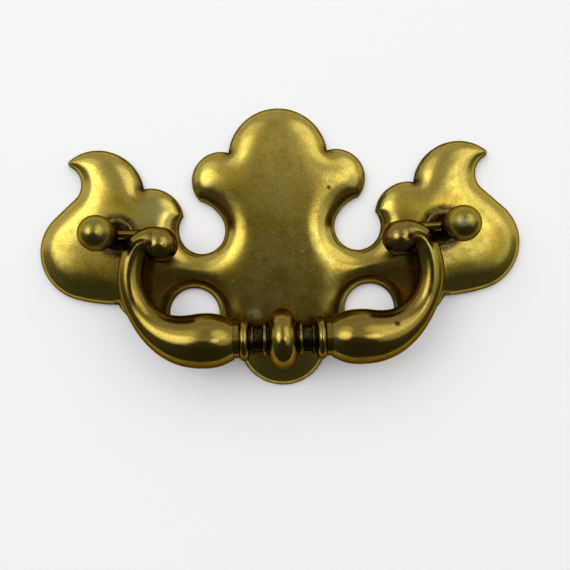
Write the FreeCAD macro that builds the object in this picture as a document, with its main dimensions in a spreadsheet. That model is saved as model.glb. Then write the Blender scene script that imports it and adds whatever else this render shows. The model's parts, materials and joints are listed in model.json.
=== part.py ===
"""Drawer pull with a swinging bail: a pillowed sheet-brass backplate, two ball-headed posts and the bail.

The back rim of the plate lies on the plane Z = 0 and the pull faces +Z. +Y is up on the drawer front and
+X is to the right. The origin is midway between the two posts, on the plane of the drawer front.
Sizes are in millimetres.
"""

import FreeCAD, Part
import math
import os

import Sketcher
from FreeCAD import Rotation, Vector

SIZES = {
    # Fixing and pivot
    "post_spacing": 76.2,
    "rest_gap": 0.25,
    "running_clearance": 0.08,
    "seat_clearance": 0.05,
    # Backplate section
    "plate_height": 4.6,
    "plate_wall": 1.3,
    "plate_rim": 0.8,
    "plate_edge": 6.5,
    # Backplate outline, right half; each place across is a share of half the width
    "plate_width": 114.9,
    "plate_rise": 29.5,
    "plate_drop": 36.7,
    "crown_radius": 11.9,
    "shoulder_share": 0.2385,
    "shoulder_y": 12.6,
    "shoulder_radius": 7.0,
    "shoulder_hook_angle": 320.0,
    "upper_void_share": 0.3255,
    "upper_void_y": 1.0,
    "upper_void_radius": 5.6,
    "upper_void_lip_angle": 152.0,
    "inner_lobe_radius": 7.8,
    "inner_lobe_overlap": 1.0,
    "inner_lobe_angle": 12.1,
    "flame_share": 0.7485,
    "flame_y": 10.0,
    "flame_radius": 10.7,
    "flame_tip_radius": 0.9,
    "bite_radius": 4.65,
    "bite_gap": 1.36,
    "bite_angle": 70.9,
    "belly_y": -3.7,
    "belly_radius": 11.45,
    "hem_radius": 40.0,
    "hem_angle": 286.0,
    "lower_lobe_share": 0.5361,
    "lower_lobe_y": -12.0,
    "lower_lobe_radius": 9.5,
    "lower_void_share": 0.3673,
    "lower_void_y": -18.8,
    "lower_void_radius": 6.0,
    "skirt_lobe_radius": 5.6,
    "skirt_lobe_overlap": 1.8,
    "skirt_lobe_angle": 204.2,
    "toe_radius": 10.6,
    # Posts
    "post_shank_radius": 3.15,
    "post_flange_radius": 4.05,
    "post_flange_thickness": 0.9,
    "post_neck_height": 1.6,
    "post_stem_radius": 2.5,
    "post_waist_radius": 2.2,
    "post_ball_radius": 3.8,
    "post_ball_height": 21.4,
    "screw_hole_radius": 1.73,
    "screw_hole_depth": 6.5,
    # Bail
    "pin_radius": 1.05,
    "pin_reach": 1.9,
    "grip_drop": 24.2,
    "grip_end": 11.0,
    "grip_end_radius": 4.4,
    "swell_length": 6.3,
    "swell_radius": 6.2,
    "bend_start": 19.4,
    "bend_radius": 14.2,
    "bend_angle": 116.0,
    "curl_radius": 3.65,
    "curl_angle": 100.0,
    "taper_length": 19.7,
    "arm_radius": 2.9,
    "neck_radius": 3.0,
    "end_ball_radius": 3.95,
    # Turned middle of the bail
    "bead_radius": 6.85,
    "bead_width": 6.4,
    "quirk_width": 0.25,
    "quirk_radius": 3.3,
    "fillet_ring_width": 1.05,
    "fillet_ring_radius": 4.0,
    "waist_width": 1.9,
    "waist_radius": 2.95,
    "astragal_width": 0.9,
    "astragal_radius": 3.55,
    "collar_width": 2.2,
    "collar_radius": 4.85,
    "groove_radius": 4.1,
}

EDGE_BAND_COUNT = 9
CAVITY_BAND_COUNT = 4
SWELL_STATION_COUNT = 5
ARM_STATION_COUNT = 15

PIVOT_HEIGHT = "plate_height + bead_radius + rest_gap"

doc = FreeCAD.newDocument("BailPull")
sheet = doc.addObject("Spreadsheet::Sheet", "Sizes")
for row, (alias, value) in enumerate(SIZES.items(), start=1):
    sheet.set(f"A{row}", alias)
    sheet.set(f"B{row}", str(value))
    sheet.setAlias(f"B{row}", alias)
doc.recompute()


def size(alias):
    """The number in the sheet cell with this alias."""
    return float(sheet.get(alias))


def place(name):
    """The centre of a lobe or void: a share of half the plate's width across, and its own height."""
    return Vector(size(name + "_share") * size("plate_width") / 2, size(name + "_y"), 0)


def on_circle(centre, radius, degrees):
    """The point of a circle at an angle."""
    angle = math.radians(degrees)
    return centre + Vector(radius * math.cos(angle), radius * math.sin(angle), 0)


def crossing(centre_a, radius_a, centre_b, radius_b, side):
    """Where two circles cross, left (side 1) or right (side -1) of the way from a to b."""
    gap = centre_b - centre_a
    ahead = Vector(gap).normalize()
    left = Vector(-ahead.y, ahead.x, 0)
    along = (gap.Length**2 + radius_a**2 - radius_b**2) / (2 * gap.Length)
    across = math.sqrt(radius_a**2 - along**2)
    return centre_a + ahead * along + left * (across * side)


def bearing(centre, point):
    """The angle, in degrees, at which a point is seen from a centre."""
    return math.degrees(math.atan2(point.y - centre.y, point.x - centre.x))


def arc(centre, start, end, turn):
    """The arc from start to end round a centre, counter-clockwise (turn 1) or clockwise (turn -1)."""
    first = bearing(centre, start)
    sweep = (turn * (bearing(centre, end) - first)) % 360
    middle = on_circle(centre, (start - centre).Length, first + turn * sweep / 2)
    return Part.Arc(start, middle, end)


def plate_half():
    """The right half of the outline, counter-clockwise from the toe to the crown."""
    toe = Vector(0, size("toe_radius") - size("plate_drop"), 0)
    toe_r = size("toe_radius")
    low_void = place("lower_void")
    low_void_r = size("lower_void_radius")
    skirt_r = size("skirt_lobe_radius")
    skirt_gap = low_void_r + skirt_r - size("skirt_lobe_overlap")
    skirt = on_circle(low_void, skirt_gap, size("skirt_lobe_angle"))
    low_lobe = place("lower_lobe")
    low_lobe_r = size("lower_lobe_radius")
    belly_r = size("belly_radius")
    belly = Vector(size("plate_width") / 2 - belly_r, size("belly_y"), 0)
    hem_r = size("hem_radius")
    hem = on_circle(belly, belly_r - hem_r, size("hem_angle"))
    bite_r = size("bite_radius")
    bite = on_circle(belly, belly_r + bite_r + size("bite_gap"), size("bite_angle"))
    flame = place("flame")
    flame_r = size("flame_radius")
    tip_r = size("flame_tip_radius")
    tip = crossing(flame, flame_r - tip_r, bite, bite_r + tip_r, 1)
    void = place("upper_void")
    void_r = size("upper_void_radius")
    lobe_r = size("inner_lobe_radius")
    lobe_gap = void_r + lobe_r - size("inner_lobe_overlap")
    lobe = on_circle(void, lobe_gap, size("inner_lobe_angle"))
    shoulder = place("shoulder")
    shoulder_r = size("shoulder_radius")
    crown_r = size("crown_radius")
    crown = Vector(0, size("plate_rise") - crown_r, 0)

    bottom = Vector(0, -size("plate_drop"), 0)
    toe_corner = crossing(toe, toe_r, skirt, skirt_r, -1)
    skirt_corner = crossing(skirt, skirt_r, low_void, low_void_r, -1)
    low_corner = crossing(low_void, low_void_r, low_lobe, low_lobe_r, -1)
    hem_corner = crossing(low_lobe, low_lobe_r, hem, hem_r, -1)
    belly_start = on_circle(belly, belly_r, size("hem_angle"))
    lean = size("bite_angle") - math.degrees(math.acos((belly_r + bite_r) / (bite - belly).Length))
    belly_end = on_circle(belly, belly_r, lean)
    bite_start = on_circle(bite, bite_r, lean + 180)
    bite_end = on_circle(bite, bite_r, bearing(bite, tip))
    flame_start = on_circle(flame, flame_r, bearing(flame, tip))
    flame_corner = crossing(flame, flame_r, lobe, lobe_r, -1)
    void_corner = crossing(lobe, lobe_r, void, void_r, -1)
    lip_start = on_circle(void, void_r, size("upper_void_lip_angle"))
    hook = on_circle(shoulder, shoulder_r, size("shoulder_hook_angle"))
    inward = (void - lip_start).normalize()
    reach = (hook - lip_start).Length ** 2 / (2 * inward.dot(hook - lip_start))
    lip = lip_start + inward * reach
    crown_corner = crossing(shoulder, shoulder_r, crown, crown_r, -1)
    top = Vector(0, size("plate_rise"), 0)

    return [
        arc(toe, bottom, toe_corner, 1),
        arc(skirt, toe_corner, skirt_corner, 1),
        arc(low_void, skirt_corner, low_corner, -1),
        arc(low_lobe, low_corner, hem_corner, 1),
        arc(hem, hem_corner, belly_start, 1),
        arc(belly, belly_start, belly_end, 1),
        Part.LineSegment(belly_end, bite_start),
        arc(bite, bite_start, bite_end, -1),
        arc(tip, bite_end, flame_start, 1),
        arc(flame, flame_start, flame_corner, 1),
        arc(lobe, flame_corner, void_corner, 1),
        arc(void, void_corner, lip_start, -1),
        arc(lip, lip_start, hook, -1),
        arc(shoulder, hook, crown_corner, 1),
        arc(crown, crown_corner, top, 1),
    ]


def plate_outline():
    """The closed outline, counter-clockwise."""
    right = [curve.toShape() for curve in plate_half()]
    left = [edge.mirror(Vector(0, 0, 0), Vector(1, 0, 0)) for edge in reversed(right)]
    return Part.Wire(Part.__sortEdges__(right + left))


def pillow(outline, inset, foot, rim, rise, bands):
    """A solid that stands on an outline, with a rim and an edge that rolls over to a flat face."""
    reach = size("plate_edge") - inset
    profile = [Vector(0, inset, foot), Vector(0, inset, rim)]
    for band in range(1, bands + 1):
        angle = math.pi / 2 * band / bands
        across = inset + reach * (1 - math.cos(angle))
        profile.append(Vector(0, across, rim + (rise - rim) * math.sin(angle)))
    profile.append(Vector(0, size("plate_width") / 2, rise))
    return outline.makeEvolved(Profile=Part.makePolygon(profile), Join=0, AxeProf=True, Solid=True)


def measure(words):
    """The value of aliases joined by plus and minus signs."""
    total = 0.0
    sign = 1
    for word in words.split():
        if word in "+-":
            sign = 1 if word == "+" else -1
        else:
            total += sign * size(word)
    return total


def formula(words):
    """The same sum as an expression on the sheet."""
    return " ".join(word if word in "+-" else "Sizes." + word for word in words.split())


def profile_sketch(body, plane, corners):
    """A closed sketch of straight lines whose corners are held by expressions; an empty one is on the axis."""
    sketch = body.newObject("Sketcher::SketchObject", body.Name + "_profile")
    support = next(part for part in body.Origin.OriginFeatures if part.Role == plane)
    sketch.AttachmentSupport = (support, [""])
    sketch.MapMode = "FlatFace"
    points = [Vector(measure(across), measure(up), 0) for across, up in corners]
    count = len(points)
    for index in range(count):
        sketch.addGeometry(Part.LineSegment(points[index], points[(index + 1) % count]))
    for index in range(count):
        sketch.addConstraint(Sketcher.Constraint("Coincident", index, 2, (index + 1) % count, 1))
    for index, (across, up) in enumerate(corners):
        for words, kind, axis in ((across, "DistanceX", -2), (up, "DistanceY", -1)):
            if words:
                rule = Sketcher.Constraint(kind, -1, 1, index, 1, measure(words))
                number = sketch.addConstraint(rule)
                sketch.setExpression(f"Constraints[{number}]", formula(words))
            else:
                sketch.addConstraint(Sketcher.Constraint("PointOnObject", index, 1, axis))
    return sketch


def build_post(name, side):
    """A turned post: shank through the plate, flange, tapered neck, stem, ball head and two holes."""
    body = doc.addObject("PartDesign::Body", name)
    body.Label = name
    flange_top = "plate_height + post_flange_thickness"
    profile = profile_sketch(body, "XZ_Plane", [
        ("", ""),
        ("post_shank_radius", ""),
        ("post_shank_radius", "plate_height"),
        ("post_flange_radius", "plate_height"),
        ("post_flange_radius", flange_top),
        ("post_shank_radius", flange_top),
        ("post_stem_radius", flange_top + " + post_neck_height"),
        ("post_waist_radius", "post_ball_height"),
        ("", "post_ball_height"),
    ])
    turned = body.newObject("PartDesign::Revolution", name + "_turned")
    turned.Profile = profile
    turned.ReferenceAxis = (profile, ["V_Axis"])
    turned.Angle = 360
    doc.recompute()
    ball = body.newObject("PartDesign::AdditiveSphere", name + "_ball")
    ball.setExpression("Radius", "Sizes.post_ball_radius")
    ball.setExpression("Placement.Base.z", "Sizes.post_ball_height")
    doc.recompute()
    screw = body.newObject("PartDesign::SubtractiveCylinder", name + "_screw_hole")
    screw.setExpression("Radius", "Sizes.screw_hole_radius")
    screw.setExpression("Height", "Sizes.screw_hole_depth")
    doc.recompute()
    pivot = body.newObject("PartDesign::SubtractiveCylinder", name + "_pivot_hole")
    pivot.Placement.Rotation = Rotation(Vector(0, 1, 0), 90)
    pivot.setExpression("Radius", "Sizes.pin_radius + Sizes.running_clearance")
    pivot.setExpression("Height", "Sizes.post_stem_radius * 4")
    pivot.setExpression("Placement.Base.x", "Sizes.post_stem_radius * -2")
    pivot.setExpression("Placement.Base.z", formula(PIVOT_HEIGHT))
    body.setExpression("Placement.Base.x", f"Sizes.post_spacing * {side / 2}")
    profile.Visibility = False
    doc.recompute()
    return body


def build_backplate():
    """The pillowed plate, hollow behind, with a hole for each post."""
    outline = plate_outline()
    rim = size("plate_rim")
    height = size("plate_height")
    wall = size("plate_wall")
    blank = doc.addObject("Part::Feature", "plate_blank")
    blank.Shape = pillow(outline, 0, 0, rim, height, EDGE_BAND_COUNT)
    cavity = doc.addObject("Part::Feature", "plate_cavity")
    cavity.Shape = pillow(outline, wall, -wall, rim, height - wall, CAVITY_BAND_COUNT)
    tools = [cavity]
    for word, side in (("left", -1), ("right", 1)):
        hole = doc.addObject("Part::Cylinder", "plate_hole_" + word)
        hole.setExpression("Radius", "Sizes.post_shank_radius + Sizes.seat_clearance")
        hole.setExpression("Height", "Sizes.plate_height * 2")
        hole.setExpression("Placement.Base.x", f"Sizes.post_spacing * {side / 2}")
        tools.append(hole)
    hollow = doc.addObject("Part::MultiFuse", "plate_hollow")
    hollow.Shapes = tools
    plate = doc.addObject("Part::Cut", "backplate")
    plate.Label = "backplate"
    plate.Base = blank
    plate.Tool = hollow
    return plate


def bail_path():
    """The length of the centre line from the grip's end to the curled end, and a function along it."""
    straight = size("bend_start") - size("grip_end")
    bend_r = size("bend_radius")
    curl_r = size("curl_radius")
    bend = math.radians(size("bend_angle"))
    curl = math.radians(size("curl_angle"))
    height = measure(PIVOT_HEIGHT)
    bend_centre = Vector(size("bend_start"), bend_r - size("grip_drop"), height)
    curl_centre = bend_centre + Vector(math.sin(bend), -math.cos(bend), 0) * (bend_r - curl_r)

    def station(run):
        if run <= straight:
            return Vector(size("grip_end") + run, -size("grip_drop"), height), Vector(1, 0, 0)
        angle = (run - straight) / bend_r
        centre, radius = bend_centre, bend_r
        if angle > bend:
            angle = bend + (run - straight - bend_r * bend) / curl_r
            centre, radius = curl_centre, curl_r
        spot = centre + Vector(math.sin(angle), -math.cos(angle), 0) * radius
        return spot, Vector(math.cos(angle), math.sin(angle), 0)

    return straight + bend_r * bend + curl_r * curl, station, curl_centre


def bail_radius(run, length):
    """The radius at a run along the arm, as an expression that blends the named radii."""
    swell = size("swell_length")
    taper = size("taper_length")
    if run <= swell:
        share = ((swell - run) / swell) ** 2.2
        return f"Sizes.swell_radius * {1 - share:.5f} + Sizes.grip_end_radius * {share:.5f}"
    if run <= swell + taper:
        share = (1 + math.cos(math.pi * (run - swell) / taper)) / 2
        return f"Sizes.arm_radius * {1 - share:.5f} + Sizes.swell_radius * {share:.5f}"
    share = (run - swell - taper) / (length - swell - taper)
    share = share * share * (3 - 2 * share)
    return f"Sizes.arm_radius * {1 - share:.5f} + Sizes.neck_radius * {share:.5f}"


def middle_profile():
    """Half of the turned middle, from the bead's centre plane to inside the grip's end."""
    bead_half = size("bead_width") / 2
    curves = []
    spot = Vector(0, size("bead_radius"), 0)
    shoulder = Vector(bead_half, size("bead_radius") - bead_half, 0)
    curves.append(arc(Vector(0, shoulder.y, 0), spot, shoulder, -1))
    spot = shoulder

    def line_to(target):
        curves.append(Part.LineSegment(curves[-1].EndPoint, target))

    def neck(start, width, radius):
        line_to(Vector(start, radius, 0))
        line_to(Vector(start + width, radius, 0))
        return start + width

    def ring(start, width, radius):
        foot = radius - width / 2
        line_to(Vector(start, foot, 0))
        end = Vector(start + width, foot, 0)
        curves.append(arc(Vector(start + width / 2, foot, 0), Vector(start, foot, 0), end, -1))
        return start + width

    at = neck(bead_half, size("quirk_width"), size("quirk_radius"))
    at = ring(at, size("fillet_ring_width"), size("fillet_ring_radius"))
    at = neck(at, size("waist_width"), size("waist_radius"))
    at = ring(at, size("astragal_width"), size("astragal_radius"))
    at = neck(at, size("quirk_width"), size("quirk_radius"))
    at = ring(at, size("collar_width"), size("collar_radius"))
    at = neck(at, size("grip_end") + size("swell_length") / 4 - at, size("groove_radius"))
    line_to(Vector(at, 0, 0))
    line_to(Vector(0, 0, 0))
    line_to(Vector(0, size("bead_radius"), 0))
    return curves


def build_bail():
    """The bail in one piece: turned middle, swelling grips, swan-neck arms, ball ends and pivot pins."""
    length, station, curl_centre = bail_path()
    profile = doc.addObject("Sketcher::SketchObject", "bail_middle_profile")
    profile.addGeometry(middle_profile())
    profile.setExpression("Placement.Base.y", "-Sizes.grip_drop")
    profile.setExpression("Placement.Base.z", formula(PIVOT_HEIGHT))
    middle = doc.addObject("Part::Revolution", "bail_middle")
    middle.Source = profile
    middle.Axis = Vector(1, 0, 0)
    middle.setExpression("Base.y", "-Sizes.grip_drop")
    middle.setExpression("Base.z", formula(PIVOT_HEIGHT))
    middle.Angle = 360
    middle.Solid = True

    swell = size("swell_length")
    runs = [swell * (step / SWELL_STATION_COUNT) ** 1.5 for step in range(SWELL_STATION_COUNT)]
    runs += [swell + (length - swell) * step / ARM_STATION_COUNT for step in range(ARM_STATION_COUNT + 1)]
    sections = []
    for number, run in enumerate(runs):
        spot, ahead = station(run)
        section = doc.addObject("Part::Circle", f"bail_section_{number}")
        section.setExpression("Radius", bail_radius(run, length))
        section.Placement = FreeCAD.Placement(spot, Rotation(Vector(0, 0, 1), Vector(), ahead, "ZXY"))
        sections.append(section)
    arm = doc.addObject("Part::Loft", "bail_arm")
    arm.Sections = sections
    arm.Solid = True
    arm.Ruled = False

    ball = doc.addObject("Part::Sphere", "bail_end_ball")
    ball.setExpression("Radius", "Sizes.end_ball_radius")
    ball.Placement.Base = station(length)[0]
    pin = doc.addObject("Part::Cylinder", "bail_pin")
    pin.setExpression("Radius", "Sizes.pin_radius")
    pin.setExpression("Height", f"Sizes.post_spacing / 2 + Sizes.pin_reach - {curl_centre.x:.5f}")
    pin.Placement = FreeCAD.Placement(Vector(curl_centre.x, 0, 0), Rotation(Vector(0, 1, 0), 90))
    pin.setExpression("Placement.Base.z", formula(PIVOT_HEIGHT))

    half = doc.addObject("Part::MultiFuse", "bail_half")
    half.Shapes = [middle, arm, ball, pin]
    other = doc.addObject("Part::Mirroring", "bail_other_half")
    other.Source = half
    other.Normal = Vector(1, 0, 0)
    bail = doc.addObject("Part::MultiFuse", "bail")
    bail.Label = "bail"
    bail.Shapes = [half, other]
    bail.Refine = True
    return bail


PIECES = [
    build_backplate(),
    build_post("post_left", -1),
    build_post("post_right", 1),
    build_bail(),
]
doc.recompute()

for thing in doc.Objects:
    if "Invalid" in thing.State or "Error" in thing.State:
        raise RuntimeError(f"{thing.Name} did not recompute: {thing.State}")
for piece in PIECES:
    if piece.Shape.isNull() or not piece.Shape.isValid() or len(piece.Shape.Solids) != 1:
        raise RuntimeError(f"{piece.Label} is not one sound solid")

os.makedirs("parts", exist_ok=True)
for piece in PIECES:
    piece.Shape.exportStep(f"parts/{piece.Label}.step")
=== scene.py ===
"""Looks of the bail pull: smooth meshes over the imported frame, aged brass, a pale floor and soft light.

Lengths are in millimetres until a mesh is made; MM turns them into the frame's metres. The pull lies on
its back rim on the floor, with +Z out of the drawer front, +Y up on it and +X to the right.
"""

import json
import math

import bmesh
import bpy
import numpy as np
from mathutils import Matrix, Vector, noise
from mathutils.geometry import delaunay_2d_cdt
from mathutils.kdtree import KDTree


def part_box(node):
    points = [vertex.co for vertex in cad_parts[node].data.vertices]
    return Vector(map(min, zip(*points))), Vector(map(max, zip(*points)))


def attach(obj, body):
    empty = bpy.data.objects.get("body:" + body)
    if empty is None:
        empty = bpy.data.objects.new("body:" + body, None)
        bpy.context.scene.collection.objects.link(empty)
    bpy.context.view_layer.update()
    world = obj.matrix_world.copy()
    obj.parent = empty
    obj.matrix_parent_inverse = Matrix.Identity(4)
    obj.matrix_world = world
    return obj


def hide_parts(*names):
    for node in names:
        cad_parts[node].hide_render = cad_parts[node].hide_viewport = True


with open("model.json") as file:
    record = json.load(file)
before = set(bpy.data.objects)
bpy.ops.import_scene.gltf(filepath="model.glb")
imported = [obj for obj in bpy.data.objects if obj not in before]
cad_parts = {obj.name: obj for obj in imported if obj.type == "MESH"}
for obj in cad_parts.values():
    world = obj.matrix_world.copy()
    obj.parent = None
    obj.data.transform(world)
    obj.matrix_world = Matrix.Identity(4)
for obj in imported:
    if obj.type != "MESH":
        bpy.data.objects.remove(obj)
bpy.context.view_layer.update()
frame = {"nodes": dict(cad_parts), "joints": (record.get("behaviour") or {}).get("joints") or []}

MM = 0.001
SHARP_ANGLE = math.radians(38)


# Meshes

def cad_corner(node, end):
    """The lowest (0) or highest (1) corner of a node at rest, in millimetres."""
    return Vector(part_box(node)[end]) / MM


def mesh_object(name, points, faces):
    """A smooth-shaded object from millimetre points, with its edges sharp where they really turn."""
    mesh = bpy.data.meshes.new(name)
    mesh.from_pydata([Vector(point) * MM for point in points], [], faces)
    mesh.update()
    return finish_mesh(name, mesh)


def finish_shading(mesh):
    """Shades a mesh smooth between sharp edges."""
    mesh.polygons.foreach_set("use_smooth", [True] * len(mesh.polygons))
    mesh.set_sharp_from_angle(angle=SHARP_ANGLE)


def finish_mesh(name, mesh):
    """Links an object that shows a smooth-shaded mesh."""
    finish_shading(mesh)
    thing = bpy.data.objects.new(name, mesh)
    bpy.context.scene.collection.objects.link(thing)
    return thing


def mesh_points(thing):
    """The points of an object's mesh, in millimetres."""
    flat = np.empty(len(thing.data.vertices) * 3)
    thing.data.vertices.foreach_get("co", flat)
    return flat.reshape(-1, 3) / MM


def mesh_normals(thing):
    """The directions that an object's points face."""
    flat = np.empty(len(thing.data.vertices) * 3)
    thing.data.vertices.foreach_get("normal", flat)
    return flat.reshape(-1, 3)


def set_mask(thing, name, values):
    """Stores one number per point for the material to read."""
    layer = thing.data.attributes.new(name, "FLOAT", "POINT")
    layer.data.foreach_set("value", np.clip(values, 0, 1).astype(np.float32))


def combine(thing, other, operation):
    """Fuses another closed mesh into a thing, or cuts it out of it, and drops the other."""
    step = thing.modifiers.new("combine", "BOOLEAN")
    step.operation = operation
    step.solver = "EXACT"
    step.object = other
    name = thing.name
    graph = bpy.context.evaluated_depsgraph_get()
    mesh = bpy.data.meshes.new_from_object(thing.evaluated_get(graph))
    bpy.data.objects.remove(thing)
    bpy.data.objects.remove(other)
    return finish_mesh(name, ordered_mesh(name, mesh))


def ordered_mesh(name, mesh):
    """A copy of a mesh with its points and faces in an order that is the same each run."""
    points = [tuple(vert.co) for vert in mesh.vertices]
    order = sorted(range(len(points)), key=lambda index: points[index])
    place = {old: new for new, old in enumerate(order)}
    faces = []
    for face in mesh.polygons:
        loop = [place[corner] for corner in face.vertices]
        start = loop.index(min(loop))
        faces.append(tuple(loop[start:] + loop[:start]))
    ordered = bpy.data.meshes.new(name)
    ordered.from_pydata([points[index] for index in order], [], sorted(faces))
    ordered.update()
    return ordered


def smoothstep(low, high, values):
    """0 below low, 1 above high and an easy curve between."""
    share = np.clip((values - low) / (high - low), 0, 1)
    return share * share * (3 - 2 * share)


def circle(radius, sides):
    """The points of a flat circle round the origin."""
    turns = [math.tau * step / sides for step in range(sides)]
    return [(radius * math.cos(turn), radius * math.sin(turn)) for turn in turns]


def rings_to_mesh(rings):
    """Points and faces of a tube with closed ends, through rings of equal count."""
    count = len(rings[0])
    points = [point for ring in rings for point in ring]
    faces = []
    for row in range(len(rings) - 1):
        for column in range(count):
            after = (column + 1) % count
            low = row * count
            high = low + count
            faces.append((low + column, low + after, high + after, high + column))
    faces.append(tuple(reversed(range(count))))
    faces.append(tuple(range(len(points) - count, len(points))))
    return points, faces


# The backplate

PLATE_ROLL = 7.2
PLATE_RIM = 0.8
PLATE_WALL = 1.3
PLATE_WAVE = 0.04
WAVE_SIZE = 9.0
SEAT = (4.4, 7.5)
POST_SHANK = 3.2
POST_CENTRES = [cad_corner(node, 0).lerp(cad_corner(node, 1), 0.5).xy
                for node in ("post_left", "post_right")]

# How finely the plate is sampled: steps along its edge, rows of points inside it and gaps between points
WELD_GAP = 0.001
CORNER_TURN = math.radians(35)
OUTLINE_STEP = 0.3
FINE_STEP = 0.05
CURVE_PARTS = 24
SOFT_DEPTH = (0.6, 1.6)
INSET_SHARE = 0.985
INSET_SLACK = 0.002
CAVITY_STEP = 0.03
EDGE_ROWS = (0.05, 0.15, 0.30, 0.50, 0.75, 1.05, 1.40, 1.80, 2.25)
FACE_STEP = 0.5
BACK_ROWS = (0.65, PLATE_WALL, PLATE_WALL + CAVITY_STEP, 1.8, 2.6)
BACK_STEP = 1.3
ROW_PITCH = 0.866
FACE_GAP = 0.6
HOLE_GAP = 0.35
CROWDING = 0.09
MERGE_GAP = 1e-4
HOLE_SHARE = 0.99
HOLE_SIDES = 56


def foot_outline(node):
    """The outer loop of a node's flat foot, counter-clockwise, as millimetre points."""
    shape = bmesh.new()
    shape.from_mesh(frame["nodes"][node].data)
    bmesh.ops.remove_doubles(shape, verts=shape.verts, dist=WELD_GAP * MM)
    shape.verts.index_update()
    shape.verts.ensure_lookup_table()
    shape.normal_update()
    neighbours = {}
    for edge in shape.edges:
        grounded = all(vert.co.z < WELD_GAP * MM for vert in edge.verts)
        if grounded and sum(face.normal.z < -0.99 for face in edge.link_faces) == 1:
            first, second = (vert.index for vert in edge.verts)
            neighbours.setdefault(first, []).append(second)
            neighbours.setdefault(second, []).append(first)
    loops = []
    while neighbours:
        here = min(neighbours)
        loop = []
        while here is not None:
            loop.append(here)
            onward = neighbours.pop(here)
            here = next((spot for spot in onward if spot in neighbours), None)
        loops.append(np.array([shape.verts[spot].co.xy for spot in loop]) / MM)
    shape.free()
    outer = max(loops, key=lambda loop: np.ptp(loop[:, 0]))
    onward = np.roll(outer, -1, axis=0)
    area = np.sum(outer[:, 0] * onward[:, 1] - outer[:, 1] * onward[:, 0])
    return outer if area > 0 else outer[::-1]


def turn_angles(loop):
    """How far the loop turns at each of its points, left turns positive."""
    before = loop - np.roll(loop, 1, axis=0)
    after = np.roll(loop, -1, axis=0) - loop
    cross = before[:, 0] * after[:, 1] - before[:, 1] * after[:, 0]
    return np.arctan2(cross, np.sum(before * after, axis=1))


def smooth_stretch(points, step):
    """Even samples of a smooth curve through points, without the last one, and its left-hand normals."""
    padded = np.vstack([2 * points[0] - points[1], points, 2 * points[-1] - points[-2]])
    dense = []
    for index in range(1, len(padded) - 2):
        p0, p1, p2, p3 = padded[index - 1:index + 3]
        for share in np.linspace(0, 1, CURVE_PARTS, endpoint=False):
            bend = (2 * p0 - 5 * p1 + 4 * p2 - p3) * share**2 + (3 * p1 - p0 - 3 * p2 + p3) * share**3
            dense.append((2 * p1 + (p2 - p0) * share + bend) / 2)
    dense = np.array(dense + [points[-1]])
    run = np.concatenate([[0], np.cumsum(np.linalg.norm(np.diff(dense, axis=0), axis=1))])
    count = max(2, round(run[-1] / step))
    marks = np.linspace(0, run[-1], count + 1)
    even = np.stack([np.interp(marks, run, dense[:, axis]) for axis in (0, 1)], axis=1)
    ahead = np.gradient(even, axis=0)
    ahead /= np.linalg.norm(ahead, axis=1, keepdims=True)
    inward = np.stack([-ahead[:, 1], ahead[:, 0]], axis=1)
    return even[:-1], inward[:-1], inward[-1]


def smooth_outline(loop, step):
    """Samples of the outline, their inward normals, and a fan of normals at each inner corner."""
    turns = turn_angles(loop)
    corners = np.flatnonzero(np.abs(turns) > CORNER_TURN)
    loop = np.roll(loop, -corners[0], axis=0)
    turns = np.roll(turns, -corners[0])
    corners = np.append(corners - corners[0], len(loop))
    loop = np.vstack([loop, loop[:1]])
    samples, normals, arrivals = [], [], []
    for start, end in zip(corners[:-1], corners[1:]):
        even, inward, last = smooth_stretch(loop[start:end + 1], step)
        samples.append(even)
        normals.append(inward)
        arrivals.append(last)
    fans = []
    for index, start in enumerate(corners[:-1]):
        if turns[start] < 0:
            fans.append((loop[start], arrivals[index - 1], normals[index][0]))
    return np.concatenate(samples), np.concatenate(normals), fans


class Outline:
    """The plate's outline as samples, with the depth of any point inside it."""

    def __init__(self, loop):
        self.points, self.normals, self.fans = smooth_outline(loop, OUTLINE_STEP)
        fine = smooth_outline(loop, FINE_STEP)[0]
        self.tree = KDTree(len(fine))
        for index, point in enumerate(fine):
            self.tree.insert((*point, 0), index)
        self.tree.balance()

    def depth(self, points):
        """The distance of each point from the outline."""
        return np.array([self.tree.find((point[0], point[1], 0))[2] for point in points])

    def soft_depth(self, points):
        """A depth without ridges: the true one near the edge, less where the edge wraps round."""
        depth = self.depth(points)
        spans = np.roll(self.points, -1, axis=0) - np.roll(self.points, 1, axis=0)
        lengths = np.linalg.norm(spans, axis=1) / 2
        soft = depth.copy()
        for index in np.flatnonzero(depth > SOFT_DEPTH[0]):
            away = np.linalg.norm(self.points - points[index, :2], axis=1)
            soft[index] = math.sqrt(2 / np.sum(lengths / away**3))
        return depth + (soft - depth) * smoothstep(*SOFT_DEPTH, depth)

    def inset(self, depth):
        """Points at a depth inside the outline, with rounded fans at its inner corners."""
        spots = list(self.points + self.normals * depth)
        for corner, first, last in self.fans:
            begin = math.atan2(first[1], first[0])
            sweep = (math.atan2(last[1], last[0]) - begin + math.pi) % math.tau - math.pi
            parts = max(2, round(abs(sweep) * depth / OUTLINE_STEP))
            for part in range(parts + 1):
                angle = begin + sweep * part / parts
                spots.append(corner + depth * np.array([math.cos(angle), math.sin(angle)]))
        spots = np.array(spots)
        return spots[self.depth(spots) > depth * INSET_SHARE - INSET_SLACK]


def thin_out(spots, gap):
    """Drops points that crowd an earlier one."""
    taken = {}
    kept = []
    for spot in spots:
        cell = (math.floor(spot[0] / gap), math.floor(spot[1] / gap))
        around = [(cell[0] + across, cell[1] + up) for across in (-1, 0, 1) for up in (-1, 0, 1)]
        near = (taken[other] for other in around if other in taken)
        if all(math.dist(spot, other) > gap for other in near):
            taken[cell] = spot
            kept.append(spot)
    return np.array(kept)


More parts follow.
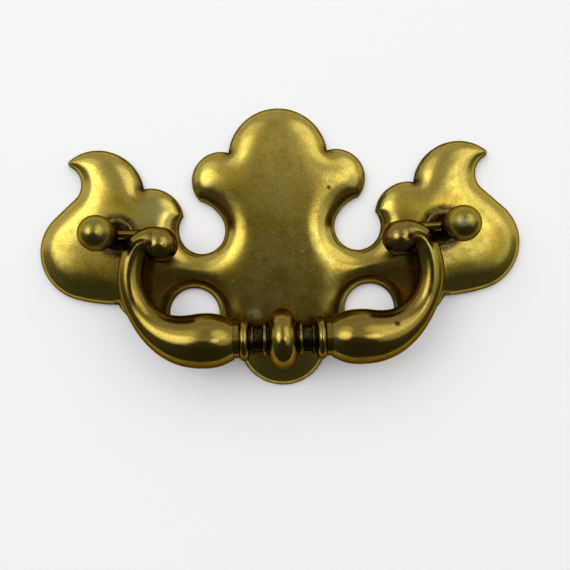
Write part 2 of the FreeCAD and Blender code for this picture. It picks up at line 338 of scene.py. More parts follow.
def fill_region(loops, inner):
    """Triangles between an outer loop and its holes, through the inner points."""
    points = np.concatenate([*loops, inner])
    edges = []
    first = 0
    for loop in loops:
        count = len(loop)
        edges += [(first + step, first + (step + 1) % count) for step in range(count)]
        first += count
    found = delaunay_2d_cdt([Vector(point) for point in points], edges, [], 1, MERGE_GAP)
    spots = np.array([tuple(point) for point in found[0]])
    triangles = np.array(found[2])
    place = {source: index for index, sources in enumerate(found[3]) for source in sources}
    rings = []
    first = 0
    for loop in loops:
        rings.append([place[first + step] for step in range(len(loop))])
        first += len(loop)
    middle = spots[triangles].mean(axis=1)
    for hole in loops[1:]:
        centre = hole.mean(axis=0)
        radius = np.linalg.norm(hole[0] - centre) * HOLE_SHARE
        keep = np.linalg.norm(middle - centre, axis=1) > radius
        triangles, middle = triangles[keep], middle[keep]
    a, b, c = (spots[triangles[:, corner]] for corner in range(3))
    area = (b - a)[:, 0] * (c - a)[:, 1] - (b - a)[:, 1] * (c - a)[:, 0]
    triangles[area < 0] = triangles[area < 0][:, ::-1]
    return spots, triangles, rings


def plate_height(outline, spots, face):
    """The height of the plate's pillowed face, with a level seat for each post."""
    share = np.clip(outline.soft_depth(spots) / PLATE_ROLL, 0, 1)
    height = PLATE_RIM + (face - PLATE_RIM) * np.sqrt(1 - (1 - share) ** 2)
    height += PLATE_WAVE * ripple(spots) * smoothstep(0.1, 0.6, share)
    for centre in POST_CENTRES:
        seat = 1 - smoothstep(*SEAT, np.linalg.norm(spots - np.array(centre), axis=1))
        height += (face - height) * seat
    return np.minimum(height, face)


def ripple(spots):
    """Slow noise over the plate, between about -1 and 1."""
    return np.array([noise.noise((spot[0] / WAVE_SIZE, spot[1] / WAVE_SIZE, 0)) for spot in spots])


def plate_fill(outline, holes, depths, face_step):
    """Triangles of the plate, with rows of points along its edge and an even spread on its face."""
    rows = [outline.inset(depth) for depth in depths]
    low, high = cad_corner("backplate", 0), cad_corner("backplate", 1)
    across = np.arange(low.x, high.x, face_step)
    up = np.arange(low.y, high.y, face_step * ROW_PITCH)
    grid = np.array([(x + face_step / 2 * (row % 2), y) for row, y in enumerate(up) for x in across])
    grid = grid[inside(outline.points, grid)]
    rows.append(grid[outline.depth(grid) > depths[-1] + face_step * FACE_GAP])
    spots = np.concatenate(rows)
    for hole in holes:
        away = np.linalg.norm(spots - hole.mean(axis=0), axis=1)
        spots = spots[away > POST_SHANK + HOLE_GAP]
    return fill_region([outline.points, *holes], thin_out(spots, CROWDING))


def inside(loop, spots):
    """Which points lie inside a closed loop."""
    result = np.zeros(len(spots), dtype=bool)
    onward = np.roll(loop, -1, axis=0)
    for (x1, y1), (x2, y2) in zip(loop, onward):
        spans = (y1 > spots[:, 1]) != (y2 > spots[:, 1])
        if spans.any():
            edge = x1 + (spots[:, 1] - y1) * (x2 - x1) / (y2 - y1 + 1e-12)
            result ^= spans & (spots[:, 0] < edge)
    return result


def build_backplate():
    """The pillowed plate, hollow behind, with a hole for each post."""
    face = cad_corner("backplate", 1).z
    outline = Outline(foot_outline("backplate"))
    holes = [np.array(circle(POST_SHANK, HOLE_SIDES)) + np.array(centre) for centre in POST_CENTRES]

    spots, upper, upper_rings = plate_fill(outline, holes, EDGE_ROWS, FACE_STEP)
    height = plate_height(outline, spots, face)
    height[upper_rings[0]] = PLATE_RIM
    top = np.column_stack([spots, height])

    back, lower, lower_rings = plate_fill(outline, holes, BACK_ROWS, BACK_STEP)
    ceiling = plate_height(outline, back, face) - PLATE_WALL
    ceiling[outline.depth(back) < PLATE_WALL + CAVITY_STEP / 2] = 0
    ceiling[lower_rings[0]] = 0
    bottom = np.column_stack([back, ceiling])

    count = len(top)
    faces = [tuple(int(corner) for corner in triangle) for triangle in upper]
    faces += [tuple(int(corner) + count for corner in triangle[::-1]) for triangle in lower]
    for above, below in zip(upper_rings, lower_rings):
        outer = above is upper_rings[0]
        for here in range(len(above)):
            onward = (here + 1) % len(above)
            wall = (above[here], below[here] + count, below[onward] + count, above[onward])
            faces.append(wall if outer else wall[::-1])
    plate = mesh_object("backplate_brass", np.concatenate([top, bottom]), faces)
    return plate, outline


# The bail

PIVOT = Vector(frame["joints"][0]["pos_m"]) / MM
PIN_END = cad_corner("bail", 1).x
PIN_RADIUS = 1.05
PIN_CHAMFER = 0.25
GRIP_DROP = 24.2
GRIP_END = 11.0
GRIP_END_RADIUS = 4.4
SWELL_LENGTH = 6.3
SWELL_RADIUS = 6.2
SWELL_POWER = 2.2
TAPER_LENGTH = 19.7
ARM_RADIUS = 2.9
NECK_RADIUS = 3.7
FLARE_LENGTH = 5.0
BEND_START = 19.4
BEND_RADIUS = 14.2
BEND_ANGLE = math.radians(116)
CURL_RADIUS = 3.65
CURL_ANGLE = math.radians(100)
END_BALL_RADIUS = 3.95
BEAD_RADIUS = 6.85
BEAD_HALF = 3.2
QUIRK = (0.25, 3.3)
FILLET_RING = (1.05, 4.0)
WAIST = (1.9, 2.95)
ASTRAGAL = (0.9, 3.55)
COLLAR = (2.2, 4.85)
GROOVE_RADIUS = 4.1
MIRROR = Vector((-1, 1, 1))

# How finely the bail is sampled, and how its ball joints are eased
BAIL_SIDES = 72
PIN_SIDES = 40
BEAD_STEPS = 12
RING_STEPS = 10
SWELL_STEPS = 14
SWELL_SPREAD = 1.5
ARM_STEPS = 90
BALL_SEGMENTS = (64, 40)
CREASE_ANGLE = 0.35
CREASE_GAP = 0.05
EASE_REACH = 0.9
EASE_ROUNDS = 14

STRAIGHT = BEND_START - GRIP_END
BEND_RUN = STRAIGHT + BEND_RADIUS * BEND_ANGLE
ARM_RUN = BEND_RUN + CURL_RADIUS * CURL_ANGLE
GRIP_CENTRE = Vector((0, -GRIP_DROP, PIVOT.z))
BEND_CENTRE = Vector((BEND_START, BEND_RADIUS - GRIP_DROP, PIVOT.z))
BEND_TURN = Vector((math.sin(BEND_ANGLE), -math.cos(BEND_ANGLE), 0))
CURL_CENTRE = BEND_CENTRE + BEND_TURN * (BEND_RADIUS - CURL_RADIUS)


def arm_station(run):
    """The centre and direction of the right arm at a run from the grip's end."""
    if run <= STRAIGHT:
        return Vector((GRIP_END + run, -GRIP_DROP, PIVOT.z)), Vector((1, 0, 0))
    angle = (run - STRAIGHT) / BEND_RADIUS
    centre, radius = BEND_CENTRE, BEND_RADIUS
    if angle > BEND_ANGLE:
        angle = BEND_ANGLE + (run - BEND_RUN) / CURL_RADIUS
        centre, radius = CURL_CENTRE, CURL_RADIUS
    spot = centre + Vector((math.sin(angle), -math.cos(angle), 0)) * radius
    return spot, Vector((math.cos(angle), math.sin(angle), 0))


def arm_radius(run):
    """The arm's radius: a swelling grip that tapers to a slender arm and flares into its ball."""
    if run <= SWELL_LENGTH:
        share = ((SWELL_LENGTH - run) / SWELL_LENGTH) ** SWELL_POWER
        return SWELL_RADIUS + (GRIP_END_RADIUS - SWELL_RADIUS) * share
    if run <= SWELL_LENGTH + TAPER_LENGTH:
        share = (1 + math.cos(math.pi * (run - SWELL_LENGTH) / TAPER_LENGTH)) / 2
        return ARM_RADIUS + (SWELL_RADIUS - ARM_RADIUS) * share
    flare = float(smoothstep(ARM_RUN - FLARE_LENGTH, ARM_RUN, run))
    return ARM_RADIUS + (NECK_RADIUS - ARM_RADIUS) * flare


def turned_profile():
    """Distance along the grip and radius of the turned middle, from the bead's centre outwards."""
    profile = []
    for step in range(BEAD_STEPS + 1):
        angle = math.pi / 2 * step / BEAD_STEPS
        radius = BEAD_RADIUS - BEAD_HALF + BEAD_HALF * math.cos(angle)
        profile.append((BEAD_HALF * math.sin(angle), radius))
    at = BEAD_HALF

    def neck(shape):
        width, radius = shape
        for share in (0, 0.5, 1):
            profile.append((at + width * share, radius))
        return at + width

    def ring(shape):
        width, radius = shape
        for step in range(RING_STEPS + 1):
            angle = math.pi * step / RING_STEPS
            lift = width / 2 * math.sin(angle)
            profile.append((at + width / 2 * (1 - math.cos(angle)), radius - width / 2 + lift))
        return at + width

    at = neck(QUIRK)
    at = ring(FILLET_RING)
    at = neck(WAIST)
    at = ring(ASTRAGAL)
    at = neck(QUIRK)
    at = ring(COLLAR)
    at = neck((GRIP_END - at, GROOVE_RADIUS))
    return profile


def bail_ring(centre, ahead, radius):
    """A ring of points square to the bail's centre line."""
    side = Vector((-ahead.y, ahead.x, 0))
    return [centre + side * out + Vector((0, 0, up)) for out, up in circle(radius, BAIL_SIDES)]


def ball_mesh(name, centres, radius):
    """Round balls as one object."""
    shape = bmesh.new()
    for centre in centres:
        bmesh.ops.create_uvsphere(shape, u_segments=BALL_SEGMENTS[0], v_segments=BALL_SEGMENTS[1],
                                  radius=radius * MM, matrix=Matrix.Translation(Vector(centre) * MM))
    mesh = bpy.data.meshes.new(name)
    shape.to_mesh(mesh)
    shape.free()
    return finish_mesh(name, mesh)


def pin_mesh(name):
    """The two pivot pins as one object, each inside its arm at one end and chamfered at the other."""
    profile = ((CURL_CENTRE.x, PIN_RADIUS),
               (PIN_END - PIN_CHAMFER, PIN_RADIUS),
               (PIN_END, PIN_RADIUS - PIN_CHAMFER))
    points, faces = [], []
    for side in (-1, 1):
        rings = []
        for across, radius in profile:
            spots = circle(radius, PIN_SIDES)
            rings.append([(across * side, up, PIVOT.z + side * out) for up, out in spots])
        more, ends = rings_to_mesh(rings)
        faces += [tuple(corner + len(points) for corner in face) for face in ends]
        points += more
    return mesh_object(name, points, faces)


def ease_joint(thing, ball, radius):
    """Rounds the crease where a ball meets the arm that carries it."""
    shape = bmesh.new()
    shape.from_mesh(thing.data)
    near = []
    for edge in shape.edges:
        middle = (edge.verts[0].co + edge.verts[1].co) / 2
        on_ball = abs((middle / MM - ball).length - radius) < CREASE_GAP
        if on_ball and len(edge.link_faces) == 2 and edge.calc_face_angle() > CREASE_ANGLE:
            near.append(middle)
    tree = KDTree(len(near))
    for index, spot in enumerate(near):
        tree.insert(spot, index)
    tree.balance()
    soft = [vert for vert in shape.verts if tree.find(vert.co)[2] < EASE_REACH * MM]
    for _ in range(EASE_ROUNDS):
        bmesh.ops.smooth_vert(shape, verts=soft, factor=0.5,
                              use_axis_x=True, use_axis_y=True, use_axis_z=True)
    shape.to_mesh(thing.data)
    shape.free()
    finish_shading(thing.data)


def build_bail():
    """The bail in one piece: turned middle, grips, swan-neck arms, ball ends and pivot pins."""
    half = []
    for along, radius in turned_profile():
        half.append((GRIP_CENTRE + Vector((along, 0, 0)), Vector((1, 0, 0)), radius))
    runs = [SWELL_LENGTH * (step / SWELL_STEPS) ** SWELL_SPREAD for step in range(SWELL_STEPS)]
    for step in range(ARM_STEPS + 1):
        runs.append(SWELL_LENGTH + (ARM_RUN - SWELL_LENGTH) * step / ARM_STEPS)
    half += [(*arm_station(run), arm_radius(run)) for run in runs]
    other = []
    for centre, ahead, radius in half[:0:-1]:
        other.append((centre * MIRROR, Vector((ahead.x, -ahead.y, 0)), radius))
    rings = [bail_ring(*station) for station in other + half]
    bail = mesh_object("bail_brass", *rings_to_mesh(rings))
    end = arm_station(ARM_RUN)[0]
    balls = [end, end * MIRROR]
    bail = combine(bail, ball_mesh("end_balls", balls, END_BALL_RADIUS), "UNION")
    for ball in balls:
        ease_joint(bail, ball, END_BALL_RADIUS)
    return combine(bail, pin_mesh("pins"), "UNION")


# The posts

POST_FLANGE = 4.05
POST_FLANGE_THICKNESS = 0.9
POST_NECK_HEIGHT = 1.6
POST_STEM = 2.5
POST_WAIST = 2.2
POST_BALL = 3.8
POST_BORE = 1.73
POST_BORE_DEPTH = 6.5
POST_BORE_CHAMFER = 0.3
POST_PIVOT_HOLE = 1.13
POST_CLEARANCE = 0.05
POST_FOOT_CHAMFER = 0.2
POST_EDGE = 0.22
POST_FILLET = 0.25
POST_TIP = 0.001
POST_SIDES = 72
LOWER_EDGE_STEPS = 3
UPPER_EDGE_STEPS = 5
NECK_STEPS = 6
BALL_STEPS = 40
DRILL_SIDES = 40


def post_profile():
    """Radius and height of the post's turned outline, from the end of its bore round to its top."""
    face = cad_corner("backplate", 1).z
    flange_top = face + POST_FLANGE_THICKNESS
    neck_top = flange_top + POST_NECK_HEIGHT
    ball_centre = cad_corner("post_left", 1).z - POST_BALL
    shank = POST_SHANK - POST_CLEARANCE
    profile = [
        (POST_TIP, POST_BORE_DEPTH),
        (POST_BORE, POST_BORE_DEPTH),
        (POST_BORE, POST_BORE_CHAMFER),
        (POST_BORE + POST_BORE_CHAMFER, 0),
        (shank - POST_FOOT_CHAMFER, 0),
        (shank, POST_FOOT_CHAMFER),
        (shank, face),
    ]
    for step in range(LOWER_EDGE_STEPS + 1):
        angle = math.pi / 2 * step / LOWER_EDGE_STEPS
        radius = POST_FLANGE - POST_EDGE * (1 - math.sin(angle))
        profile.append((radius, face + POST_EDGE * (1 - math.cos(angle))))
    for step in range(UPPER_EDGE_STEPS + 1):
        angle = math.pi / 2 * step / UPPER_EDGE_STEPS
        radius = POST_FLANGE - POST_EDGE * (1 - math.cos(angle))
        profile.append((radius, flange_top - POST_EDGE * (1 - math.sin(angle))))
    profile.append((shank + POST_FILLET, flange_top))
    for step in range(NECK_STEPS + 1):
        share = step / NECK_STEPS
        ease = share * share * (3 - 2 * share)
        profile.append((shank + (POST_STEM - shank) * ease, flange_top + POST_NECK_HEIGHT * share))
    join = math.asin(POST_WAIST / POST_BALL)
    stem_top = ball_centre - POST_BALL * math.cos(join)
    for share in (0.25, 0.5, 0.75):
        radius = POST_STEM + (POST_WAIST - POST_STEM) * share
        profile.append((radius, neck_top + (stem_top - neck_top) * share))
    for step in range(BALL_STEPS + 1):
        angle = join + (math.pi - join) * step / BALL_STEPS
        radius = max(POST_TIP, POST_BALL * math.sin(angle))
        profile.append((radius, ball_centre - POST_BALL * math.cos(angle)))
    return profile


def build_post(name, centre):
    """A turned post with a bore for its screw and a cross hole for the bail's pin."""
    rings = []
    for radius, height in post_profile():
        spots = circle(radius, POST_SIDES)
        rings.append([(centre.x + across, centre.y + up, height) for across, up in spots])
    post = mesh_object(name, *rings_to_mesh(rings))
    drill = []
    for across in (centre.x - 2 * POST_STEM, centre.x + 2 * POST_STEM):
        spots = circle(POST_PIVOT_HOLE, DRILL_SIDES)
        drill.append([(across, up, PIVOT.z + out) for up, out in spots])
    return combine(post, mesh_object("drill", *rings_to_mesh(drill)), "DIFFERENCE")


# Materials

class Graph:
    """Builds a node tree; each method adds a node and returns the socket that carries its result."""

    def __init__(self, tree):
        self.tree = tree
        self.column = 0

    def node(self, kind, **settings):
        made = self.tree.nodes.new(kind)
        made.location = (self.column * 190, 0)
        self.column += 1
        for name, value in settings.items():
            setattr(made, name, value)
        return made

    def feed(self, socket, value):
        """Links a socket or sets a constant on the input."""
        if isinstance(value, bpy.types.NodeSocket):
            self.tree.links.new(value, socket)
        else:
            socket.default_value = value

    def math(self, operation, first, second=0.0, clamp=False):
        made = self.node("ShaderNodeMath", operation=operation, use_clamp=clamp)
        self.feed(made.inputs[0], first)
        self.feed(made.inputs[1], second)
        return made.outputs[0]

    def noise(self, coords, scale, detail=3.0, roughness=0.55):
        made = self.node("ShaderNodeTexNoise")
        self.feed(made.inputs["Vector"], coords)
        made.inputs["Scale"].default_value = scale
        made.inputs["Detail"].default_value = detail
        made.inputs["Roughness"].default_value = roughness
        return made.outputs["Fac"]

    def ramp(self, value, *stops):
        """A colour ramp; each stop is a position and a colour or a grey."""
        made = self.node("ShaderNodeValToRGB")
        self.feed(made.inputs["Fac"], value)
        while len(made.color_ramp.elements) < len(stops):
            made.color_ramp.elements.new(0.5)
        for element, (position, colour) in zip(made.color_ramp.elements, stops):
            element.position = position
            element.color = (*colour, 1) if isinstance(colour, tuple) else (colour, colour, colour, 1)
        return made.outputs["Color"]

    def half_ramp(self, value, *stops):
        """A grey ramp over -1 to 1."""
        made = self.node("ShaderNodeMath", operation="MULTIPLY_ADD")
        self.feed(made.inputs[0], value)
        made.inputs[1].default_value = 0.5
        made.inputs[2].default_value = 0.5
        return self.ramp(made.outputs[0], *((0.5 + position / 2, grey) for position, grey in stops))

    def mix(self, share, first, second, blend="MIX"):
        made = self.node("ShaderNodeMix", data_type="RGBA", blend_type=blend)
        self.feed(made.inputs["Factor"], share)
        for name, value in (("A", first), ("B", second)):
            socket = next(s for s in made.inputs if s.name == name and s.type == "RGBA")
            self.feed(socket, (*value, 1) if isinstance(value, tuple) else value)
        return next(s for s in made.outputs if s.type == "RGBA")

    def glow(self, way, toward, spread, strength):
        """A soft round light round a direction, brightest at its middle."""
        made = self.node("ShaderNodeVectorMath", operation="DOT_PRODUCT")
        self.feed(made.inputs[0], way)
        made.inputs[1].default_value = toward
        fade = self.node("ShaderNodeMapRange", interpolation_type="SMOOTHERSTEP")
        self.feed(fade.inputs["Value"], made.outputs["Value"])
        fade.inputs["From Min"].default_value = math.cos(spread)
        fade.inputs["To Max"].default_value = strength
        return fade.outputs["Result"]

    def spot(self, coords, centre, radius, ragged, strength):
        """A round patch with a ragged edge."""
        made = self.node("ShaderNodeVectorMath", operation="DISTANCE")
        self.feed(made.inputs[0], coords)
        made.inputs[1].default_value = centre
        reach = self.math("ADD", made.outputs["Value"], self.math("MULTIPLY", ragged, radius * 1.2))
        fade = self.node("ShaderNodeMapRange", interpolation_type="SMOOTHSTEP")
        self.feed(fade.inputs["Value"], reach)
        fade.inputs["From Min"].default_value = radius * 1.8
        fade.inputs["From Max"].default_value = radius * 1.0
        fade.inputs["To Max"].default_value = strength
        return fade.outputs["Result"]

    def attribute(self, name):
        made = self.node("ShaderNodeAttribute", attribute_name=name)
        return made.outputs["Fac"]

    def mapped(self, coords, scale, shift=(0, 0, 0), turn=(0, 0, 0)):
        made = self.node("ShaderNodeMapping")
        self.feed(made.inputs["Vector"], coords)
        made.inputs["Scale"].default_value = scale
        made.inputs["Location"].default_value = shift
        made.inputs["Rotation"].default_value = turn
        return made.outputs["Vector"]

    def bump(self, height, strength, distance, base=None):
        made = self.node("ShaderNodeBump")
        made.inputs["Strength"].default_value = strength
        made.inputs["Distance"].default_value = distance
        self.feed(made.inputs["Height"], height)
        if base is not None:
            self.feed(made.inputs["Normal"], base)
        return made.outputs["Normal"]


BRASS_OLIVE = (0.42, 0.306, 0.030)
BRASS_GOLD = (0.58, 0.458, 0.115)
BRASS_BROWN = (0.31, 0.168, 0.030)
BRASS_ROSE = (0.24, 0.150, 0.075)
PATINA = (0.12, 0.085, 0.035)
# Near-black used both for dirt and for painted shade.
GRIME_AND_SHADE = (0.022, 0.016, 0.010)
VERDIGRIS = (0.24, 0.29, 0.12)
WORN_GREY = (0.26, 0.225, 0.15)
EDGE_TINT = (0.40, 0.29, 0.11)


def aged_brass(name, seed, satin, shade, marks):
    """Satin brass with olive and brown tarnish, corner dirt, painted shade where the masks put it, rubbed
    edges, specks and scratches.

    The seed shifts the patterns, satin is the roughness and shade darkens the metal. Each mark is a place
    in millimetres, a radius, a colour, its strength and how much rougher it is.
    """
    material = bpy.data.materials.new(name)
    material.use_nodes = True
    tree = material.node_tree
    tree.nodes.clear()
    graph = Graph(tree)
    place = graph.node("ShaderNodeTexCoord").outputs["Object"]
    here = graph.mapped(place, (1 / MM,) * 3)
    coords = graph.mapped(place, (1 / MM,) * 3, (seed * 31.0, seed * 17.0, seed * 11.0))
    grime_and_shade = graph.attribute("grime_and_shade")
    worn = graph.attribute("worn")

    cloud = graph.noise(coords, 0.07, 4.0)
    blotch = graph.noise(coords, 0.45, 6.0, 0.62)
    fine = graph.noise(coords, 2.6, 5.0, 0.65)
    grain = graph.noise(coords, 4.5, 3.0, 0.7)

    tint = graph.ramp(cloud, (0.30, BRASS_OLIVE), (0.55, BRASS_GOLD), (0.72, BRASS_OLIVE))
    brown = graph.ramp(blotch, (0.48, 0.0), (0.72, 0.55))
    # Browns the metal where the mask says: brown tarnish, and painted shade on sides away from the light.
    brown = graph.math("MAXIMUM", brown, graph.attribute("brown_and_shade"))
    tint = graph.mix(brown, tint, BRASS_BROWN)
    tint = graph.mix(graph.math("MULTIPLY", worn, 0.75), tint, BRASS_GOLD)
    tint = graph.mix(1.0, tint, (shade, shade * 0.98, shade * 0.82), "MULTIPLY")
    sand = graph.ramp(grain, (0.30, 0.60), (0.70, 1.34))
    tint = graph.mix(1.0, tint, sand, "MULTIPLY")
    speck = graph.ramp(fine, (0.66, 0.0), (0.78, 0.28))
    tint = graph.mix(speck, tint, PATINA)
    thick = graph.ramp(blotch, (0.22, 0.55), (0.60, 1.0))
    crust = graph.ramp(fine, (0.4, 0.0), (0.7, 0.35))
    # Darkens towards near-black where the mask says: dirt in hollows, and painted shade on sides away
    # from the light, under the post balls and along the plate's rim.
    soil_and_shade = graph.math("MULTIPLY", grime_and_shade, graph.math("ADD", thick, crust), clamp=True)
    tint = graph.mix(soil_and_shade, tint, GRIME_AND_SHADE)

    streaks = graph.noise(graph.mapped(coords, (0.5, 7.0, 3.0), turn=(0, 0, 0.6)), 1.0, 4.0, 0.7)
    hairs = graph.noise(graph.mapped(coords, (6.0, 0.45, 3.0), turn=(0, 0, 0.35)), 1.0, 4.0, 0.7)
    scratch = graph.math("ADD", graph.ramp(streaks, (0.62, 0.0), (0.68, 1.0)),
                         graph.ramp(hairs, (0.64, 0.0), (0.70, 1.0)))

    rough = graph.math("ADD", graph.ramp(blotch, (0.30, satin - 0.05), (0.75, satin + 0.08)),
                       graph.ramp(fine, (0.35, 0.0), (0.75, 0.06)))
    rough = graph.math("ADD", rough, graph.math("MULTIPLY", soil_and_shade, 0.16))
    rough = graph.math("ADD", rough, graph.math("MULTIPLY", scratch, 0.03))
    rough = graph.math("SUBTRACT", rough, graph.math("MULTIPLY", worn, 0.04), clamp=True)
    pitted = 0.0
    for spot, radius, colour, strength, roughen in marks:
        patch = graph.spot(here, spot, radius, fine, strength)
        tint = graph.mix(patch, tint, colour)
        rough = graph.math("ADD", rough, graph.math("MULTIPLY", patch, roughen), clamp=True)
        pitted = graph.math("MAXIMUM", pitted, graph.math("MULTIPLY", patch, roughen * 4), clamp=True)

    normal = graph.bump(blotch, 0.05, 0.25 * MM)
    normal = graph.bump(fine, 0.07, 0.05 * MM, normal)
    normal = graph.bump(graph.math("MULTIPLY", fine, pitted), 0.5, 0.25 * MM, normal)
    normal = graph.bump(graph.math("SUBTRACT", grain, graph.math("MULTIPLY", scratch, 0.15)),
                        0.10, 0.02 * MM, normal)

    shader = graph.node("ShaderNodeBsdfPrincipled")
    shader.inputs["Metallic"].default_value = 1.0
    shader.inputs["Specular Tint"].default_value = (*EDGE_TINT, 1)
    graph.feed(shader.inputs["Base Color"], tint)
    graph.feed(shader.inputs["Roughness"], rough)
    graph.feed(shader.inputs["Normal"], normal)
    surface = graph.node("ShaderNodeOutputMaterial")
    tree.links.new(shader.outputs["BSDF"], surface.inputs["Surface"])
    return material


def dress(thing, material, node, body):
    """Gives a piece its material and says what it stands for."""
    thing.data.materials.clear()
    thing.data.materials.append(material)
    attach(thing, body)
    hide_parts(node)


# Grime, painted shade and rubbed places

# A brown patch on each of the plate's lower arms, under the bail: brown tarnish, and painted shade of the
# bail's arms.
BROWN_AND_SHADE_SPOT = (24.0, -12.0)


def plate_masks(plate, outline):
    """Grime round the posts and in the creases, and a dark rim that is partly painted shade; brown
    tarnish with painted shade of the bail by the lower arms; rubbed brass where the edge rolls.
    """
    points = mesh_points(plate)
    depth = outline.depth(points)
    # A dark band along the rim: partly dirt, partly painted shade at the plate's edge.
    grime_and_shade = 0.75 * (1 - smoothstep(0.1, 1.0, depth))
    for centre in POST_CENTRES:
        away = np.linalg.norm(points[:, :2] - np.array(centre), axis=1)
        grime_and_shade = np.maximum(grime_and_shade, 0.85 * (1 - smoothstep(4.7, 6.0, away)))
    for corner, _, _ in outline.fans:
        away = np.linalg.norm(points[:, :2] - corner, axis=1)
        grime_and_shade = np.maximum(grime_and_shade, 0.9 * (1 - smoothstep(0.2, 2.4, away)))
    # Brown tarnish and painted shade of the bail round the lower arms.
    brown_and_shade = np.zeros(len(points))
    for side in (-1, 1):
        away = np.linalg.norm(points[:, :2] - np.array((side * BROWN_AND_SHADE_SPOT[0], BROWN_AND_SHADE_SPOT[1])), axis=1)
        brown_and_shade = np.maximum(brown_and_shade, 1 - smoothstep(3.0, 12.5, away))
    set_mask(plate, "brown_and_shade", 0.9 * brown_and_shade)
    set_mask(plate, "grime_and_shade", grime_and_shade)
    set_mask(plate, "worn", smoothstep(0.4, 1.4, depth) * (1 - smoothstep(2.6, 6.0, depth)))


def bail_masks(bail):
    """Grime between the turned rings and at the pins and balls; a browner tone all over; painted shade,
    dark and brown, down the flanks and on the side away from the light; rubbed tops.
    """
    points = mesh_points(bail)
    across = np.abs(points[:, 0])
    radius = np.hypot(points[:, 1] - GRIP_CENTRE.y, points[:, 2] - GRIP_CENTRE.z)
    turned = 1 - smoothstep(GRIP_END - 0.1, GRIP_END + 0.5, across)
    grime_and_shade = turned * (1 - smoothstep(3.1, 4.5, radius)) * smoothstep(1.5, 2.6, across)
    end = np.array(arm_station(ARM_RUN)[0])
    from_ball = np.linalg.norm(np.column_stack([across, points[:, 1:]]) - end, axis=1) - END_BALL_RADIUS
    joint = (1 - smoothstep(0.05, 0.7, np.abs(from_ball))) * (across > end[0] + 1.2)
    grime_and_shade = np.maximum(grime_and_shade, 0.6 * joint)
    pin = 1 - smoothstep(1.2, 2.2, np.hypot(points[:, 1], points[:, 2] - PIVOT.z))
    grime_and_shade = np.maximum(grime_and_shade, 0.35 * pin * smoothstep(34.5, 36.5, across))
    normals = mesh_normals(bail)
    # Painted shade: the flanks and the side away from the light are darkened, leaving a lit top.
    flank = 1 - smoothstep(0.35, 0.92, normals[:, 2])
    front = smoothstep(0.40, 0.85, -normals[:, 1])
    grime_and_shade = np.maximum(grime_and_shade, np.maximum(0.5 * front, 0.45 * flank))
    # Brown all over, and browner as painted shade on the flanks and the side away from the light.
    set_mask(bail, "brown_and_shade", 0.35 + 0.4 * np.maximum(flank, smoothstep(-0.25, 0.5, -normals[:, 1])))
    set_mask(bail, "grime_and_shade", grime_and_shade)
    set_mask(bail, "worn", smoothstep(0.0, 5.0, points[:, 2] - PIVOT.z) * 0.5)


def post_masks(post, centre):
    """Grime and painted shade on the flange and up the stem under the ball; painted shade, dark and
    brown, on the ball's side away from the light and on the steep sides; a rubbed flange edge and top.
    """
    points = mesh_points(post)
    radius = np.linalg.norm(points[:, :2] - np.array(centre), axis=1)
    top = points[:, 2].max()
    ball = top - POST_BALL
    edge = smoothstep(POST_FLANGE - 0.28, POST_FLANGE - 0.1, radius) * (points[:, 2] < PIVOT.z)
    # Darkens the flange and the stem under the ball: partly dirt, partly painted shade beneath the ball.
    grime_and_shade = 0.9 * (1 - smoothstep(ball - 5.5, ball - 2.2, points[:, 2])) * (1 - edge)
    normals = mesh_normals(post)
    # Painted shade on the side of the ball away from the light, dark and brown.
    shaded = smoothstep(0.15, 0.75, -normals[:, 1]) * (points[:, 2] > PIVOT.z)
    grime_and_shade = np.maximum(grime_and_shade, 0.55 * shaded)
    # Painted shade on the post's steep sides.
    grime_and_shade = np.maximum(grime_and_shade, 0.4 * (1 - smoothstep(0.2, 0.75, normals[:, 2])) * (1 - edge))
    set_mask(post, "brown_and_shade", 0.5 * shaded)
    set_mask(post, "grime_and_shade", grime_and_shade)
    set_mask(post, "worn", np.maximum(edge, smoothstep(ball - 1.0, top, points[:, 2])))


PLATE_MARKS = (
    ((-6.4, -19.3, 4.6), 1.6, WORN_GREY, 0.85, 0.12),
    ((11.8, 10.2, 4.6), 0.6, GRIME_AND_SHADE, 0.85, 0.10),
    ((-30.5, 5.5, 4.2), 4.5, VERDIGRIS, 0.40, 0.05),
    ((-33.0, 9.0, 3.6), 2.2, BRASS_BROWN, 0.60, 0.05),
    ((30.0, 6.0, 4.2), 3.4, BRASS_OLIVE, 0.50, 0.08),
)
BAIL_MARKS = (
    ((25.0, -21.0, 16.4), 0.8, GRIME_AND_SHADE, 0.95, 0.10),
    ((*arm_station(ARM_RUN)[0],), 4.6, BRASS_ROSE, 0.55, 0.03),
)
BALL_MARKS = (((37.0, -0.2, 25.0), 1.15, WORN_GREY, 0.80, 0.25),)

plate, plate_edge = build_backplate()
plate_masks(plate, plate_edge)
plate_brass = aged_brass("plate_brass", 1.0, 0.18, 0.86, PLATE_MARKS)
dress(plate, plate_brass, "backplate", "mount")

bail = build_bail()
bail_masks(bail)
# The bail's brass is darker than the plate's: partly a darker tarnish, partly painted shade.
bail_brass = aged_brass("bail_brass", 2.0, 0.14, 0.60, BAIL_MARKS)
dress(bail, bail_brass, "bail", "bail")

for side, (node, centre) in enumerate(zip(("post_left", "post_right"), POST_CENTRES)):
    post = build_post(node + "_brass", centre)
    post_masks(post, centre)
    # The posts' brass is darker than the plate's: partly a darker tarnish, partly painted shade.
    post_brass = aged_brass(node + "_brass", 3.0 + side, 0.24, 0.6, BALL_MARKS)
    dress(post, post_brass, node, "mount")


# Floor, light and camera

FLOOR_HALF = 900.0
FLOOR_GREY = 0.82
FLOOR_GLOW = 0.12
FILL_SPOT = Vector((-150, 400, 820))
FILL_SIZE = 900.0
FILL_WATTS = 3.6

# Each glow leans right and up by so many degrees from straight above, and has a spread and a strength
GLOWS = (
    (-34, 14, 22, 2.5),
    (19, 7, 12, 2.1),
    (38, 5, 26, 0.8),
    (-36, 38, 24, 0.7),
    (34, 36, 25, 1.1),
)

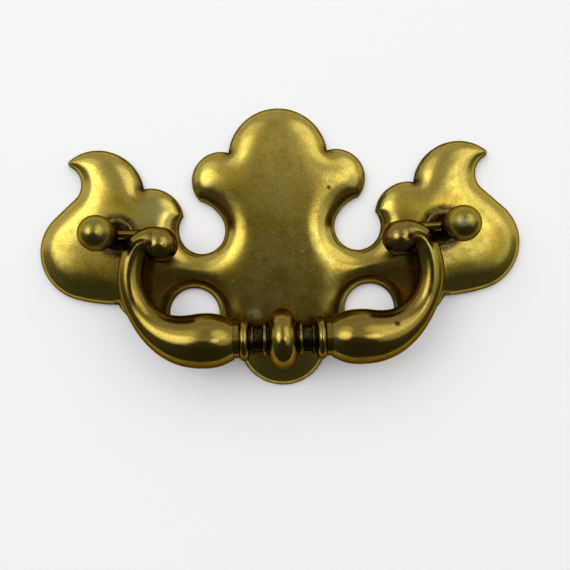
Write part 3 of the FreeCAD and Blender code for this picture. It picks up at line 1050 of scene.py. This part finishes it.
# Light of the surround by how far a direction points up the drawer front, or up from the floor
OVERHEAD = ((-1.0, 0.03), (-0.1, 0.075), (0.04, 0.07), (0.17, 0.56), (0.45, 0.50), (1.0, 0.34))
HORIZON = ((-0.1, 0.0), (0.0, 0.26), (0.5, 0.24), (0.8, 0.0))
HORIZON_AHEAD = ((-0.6, 0.10), (-0.2, 0.35), (0.2, 1.0))
CAMERA_SPOT = Vector((0.05, -6.8, 152.0))
CAMERA_AIM = Vector((0.83, -12.46, 4.6))
CAMERA_ROLL = math.radians(1.6)
FOCAL_PIXELS = 628.0
FRAME_PIXELS = 570.0


def build_floor():
    """A plain pale floor."""
    reach = FLOOR_HALF
    corners = [(-reach, -reach, 0), (reach, -reach, 0), (reach, reach, 0), (-reach, reach, 0)]
    floor = mesh_object("floor", corners, [(0, 1, 2, 3)])
    material = bpy.data.materials.new("pale_floor")
    material.use_nodes = True
    shader = material.node_tree.nodes["Principled BSDF"]
    shader.inputs["Base Color"].default_value = (FLOOR_GREY, FLOOR_GREY, FLOOR_GREY, 1)
    shader.inputs["Emission Color"].default_value = (1, 1, 1, 1)
    shader.inputs["Emission Strength"].default_value = FLOOR_GLOW
    shader.inputs["Roughness"].default_value = 0.7
    shader.inputs["Specular IOR Level"].default_value = 0.2
    floor.data.materials.append(material)


def build_floor_fill():
    """A square soft light that faces the pull but isn't mirrored in it, so it lights the floor alone."""
    lamp = bpy.data.lights.new("floor_fill", "AREA")
    lamp.shape = "SQUARE"
    lamp.size = FILL_SIZE * MM
    lamp.energy = FILL_WATTS
    thing = bpy.data.objects.new("floor_fill", lamp)
    thing.location = FILL_SPOT * MM
    thing.rotation_euler = (-FILL_SPOT).to_track_quat("-Z", "Y").to_euler()
    thing.visible_glossy = False
    bpy.context.scene.collection.objects.link(thing)


def build_world():
    """A dim studio, dark in front of the pull and lighter behind it, with soft glows above."""
    world = bpy.data.worlds.new("surround")
    world.use_nodes = True
    tree = world.node_tree
    graph = Graph(tree)
    way = graph.node("ShaderNodeTexCoord").outputs["Generated"]
    split = graph.node("ShaderNodeSeparateXYZ")
    tree.links.new(way, split.inputs["Vector"])
    walls = graph.math("MULTIPLY", graph.half_ramp(split.outputs["Z"], *HORIZON),
                       graph.half_ramp(split.outputs["Y"], *HORIZON_AHEAD))
    total = graph.math("ADD", graph.half_ramp(split.outputs["Y"], *OVERHEAD), walls)
    for across, up, spread, strength in GLOWS:
        toward = Vector((math.tan(math.radians(across)), math.tan(math.radians(up)), 1)).normalized()
        total = graph.math("ADD", total, graph.glow(way, toward, math.radians(spread), strength))
    tree.links.new(total, tree.nodes["Background"].inputs["Color"])
    bpy.context.scene.world = world


def build_camera():
    """The photograph's camera: close above the pull, a little below its middle and nearly upright."""
    lens = bpy.data.cameras.new("camera")
    lens.sensor_width = 36.0
    lens.lens = lens.sensor_width * FOCAL_PIXELS / FRAME_PIXELS
    lens.clip_start = 0.005
    thing = bpy.data.objects.new("camera", lens)
    back = (CAMERA_SPOT - CAMERA_AIM).normalized()
    upward = Vector((math.sin(CAMERA_ROLL), math.cos(CAMERA_ROLL), 0))
    right = upward.cross(back).normalized()
    up = back.cross(right)
    turn = Matrix((right, up, back)).transposed().to_4x4()
    thing.matrix_world = Matrix.Translation(CAMERA_SPOT * MM) @ turn
    bpy.context.scene.collection.objects.link(thing)
    bpy.context.scene.camera = thing


build_floor()
build_world()
build_floor_fill()
build_camera()
bpy.context.scene.view_settings.view_transform = "Standard"
